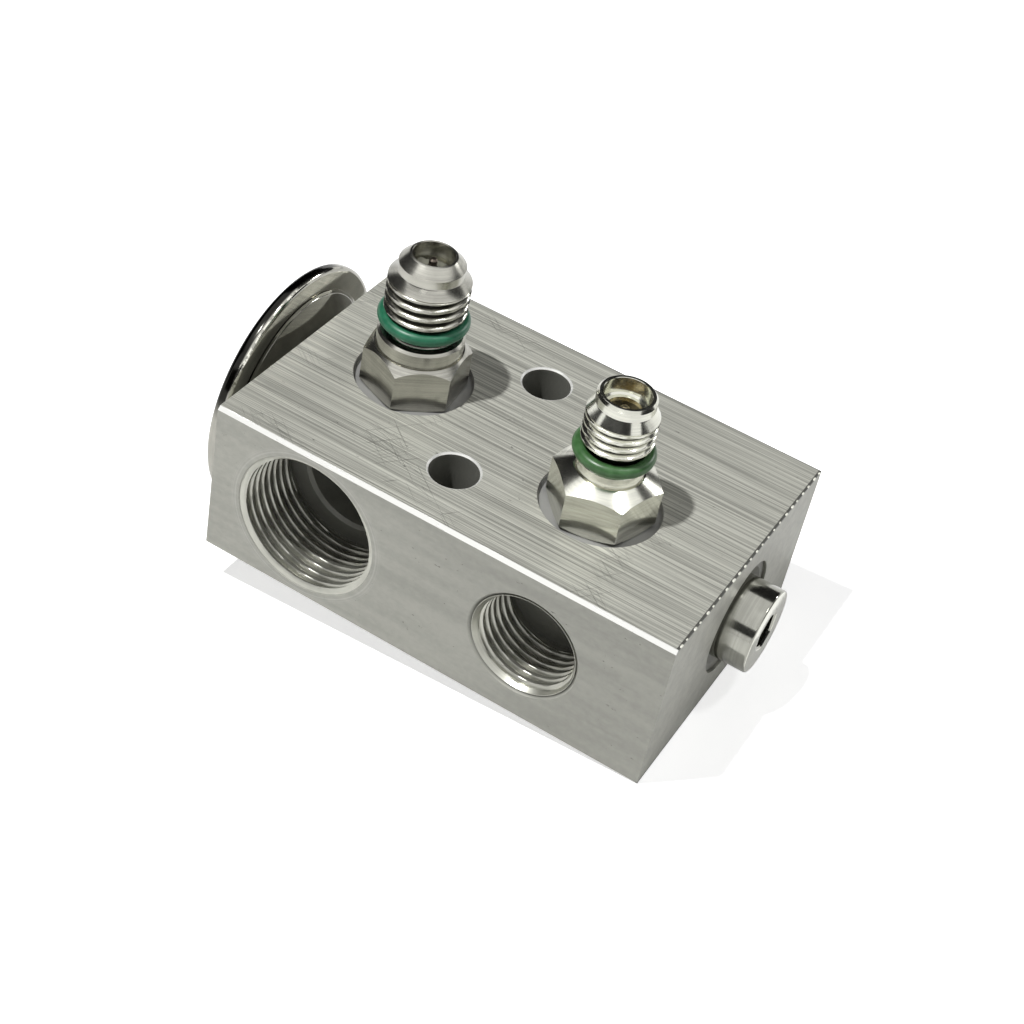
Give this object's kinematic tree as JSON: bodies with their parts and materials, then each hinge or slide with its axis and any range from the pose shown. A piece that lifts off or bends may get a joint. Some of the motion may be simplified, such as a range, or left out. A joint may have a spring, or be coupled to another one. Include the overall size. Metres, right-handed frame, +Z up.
{
  "type": "expansion valve",
  "caption": "Block expansion valve: drilled and threaded aluminium block with a steel power element, two service ports with valve cores and a socket-headed adjuster plug.",
  "frame": {"origin": "on the block's bottom face, midway between the two mounting holes", "axes": "+X from the power element towards the adjuster plug, +Y from the front face with the chamfered ports towards the rear face, +Z up through the mounting holes, towards the service ports"},
  "size_m": [0.0866, 0.0462, 0.0536],
  "materials": {
    "block_aluminium": "fine brushed lines along the block",
    "element_steel": "polished stainless steel",
    "bright_steel": "polished",
    "port_steel": "satin",
    "port_plating": "bright plated",
    "brass": "turned",
    "green_rubber": "smooth",
    "black_rubber": "smooth"
  },
  "bodies": {
    "block": {"valve_body": "block_aluminium", "power_element_housing": "element_steel", "power_element_cover": "element_steel", "diaphragm": "element_steel", "charge_plug": "element_steel", "head_seal": "black_rubber", "rod_seal": "black_rubber", "rod_seal_retainer": "bright_steel", "valve_spring": "bright_steel", "suction_service_port": "port_steel", "suction_port_ring": "green_rubber", "suction_base_seal": "black_rubber", "suction_core_body": "brass", "suction_core_spring": "bright_steel", "liquid_service_port": "port_plating", "liquid_port_ring": "green_rubber", "liquid_base_seal": "black_rubber", "liquid_core_body": "brass", "liquid_core_spring": "bright_steel"},
    "valve_train": {"stop_plate": "brass", "push_rod": "bright_steel", "valve_ball": "bright_steel", "ball_carrier": "brass"},
    "adjuster_carriage": {"adjuster_seal": "black_rubber"},
    "adjuster": {"adjuster_plug": "bright_steel"},
    "suction_core": {"suction_core_pin": "brass", "suction_core_seal": "black_rubber"},
    "liquid_core": {"liquid_core_pin": "brass", "liquid_core_seal": "black_rubber"}
  },
  "joints": [
    {"name": "valve_opening", "type": "slide", "parent": "block", "child": "valve_train", "axis": [1, 0, 0], "range_m": [0, 0.0006], "stiffness_N_per_m": 600, "deforming": ["valve_spring"]},
    {"name": "adjuster_feed", "type": "slide", "parent": "block", "child": "adjuster_carriage", "axis": [1, 0, 0], "range_m": [-0.0005, 0.0005], "deforming": ["valve_spring"]},
    {"name": "adjuster_turn", "type": "hinge", "parent": "adjuster_carriage", "child": "adjuster", "pos_m": [0.04, 0.0011, 0.0127], "axis": [1, 0, 0], "range_deg": [-180, 180]},
    {"name": "suction_core_travel", "type": "slide", "parent": "block", "child": "suction_core", "axis": [0, 0, -1], "range_m": [0, 0.0015], "stiffness_N_per_m": 400, "deforming": ["suction_core_spring"]},
    {"name": "liquid_core_travel", "type": "slide", "parent": "block", "child": "liquid_core", "axis": [0, 0, -1], "range_m": [0, 0.0015], "stiffness_N_per_m": 400, "deforming": ["liquid_core_spring"]}
  ],
  "couplings": [
    {"joint": "adjuster_turn", "follows": "adjuster_feed", "rad_per_m": 6283}
  ]
}
